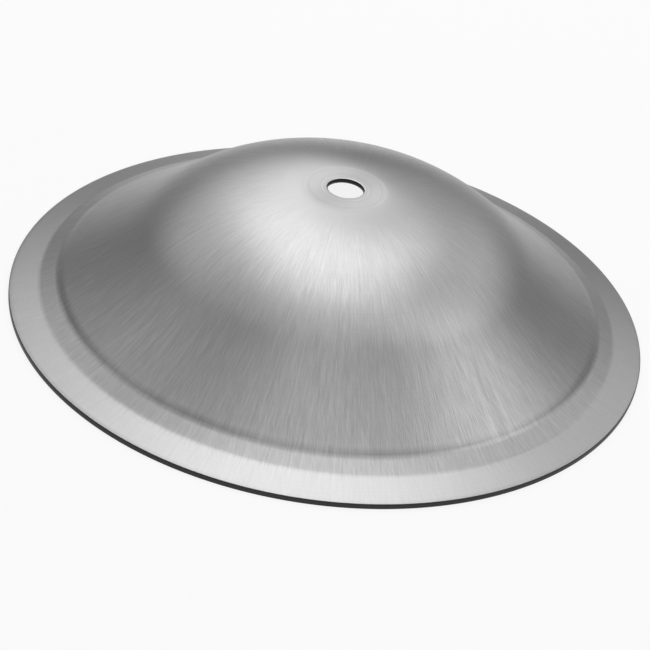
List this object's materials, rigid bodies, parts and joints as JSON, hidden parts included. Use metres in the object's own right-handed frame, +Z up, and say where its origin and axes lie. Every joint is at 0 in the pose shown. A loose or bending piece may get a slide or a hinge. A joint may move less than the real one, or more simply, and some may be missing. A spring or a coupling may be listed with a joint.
{
  "type": "bell cymbal",
  "caption": "Thick spun-metal bell cymbal: a tall bell flaring into a sloping brim, with a flat crown seat round a central stand hole.",
  "frame": {"origin": "centre of the circle that the rim rests on", "axes": "+Z up along the bell's axis, from the rim plane to the crown"},
  "size_m": [0.2286, 0.2286, 0.0531],
  "materials": {
    "brushed_aluminium": "bare metal with fine radial brushing on the bell and a smoother, finely turned brim and crown"
  },
  "bodies": {
    "root": {"bell_cymbal": "brushed_aluminium"}
  },
  "joints": []
}
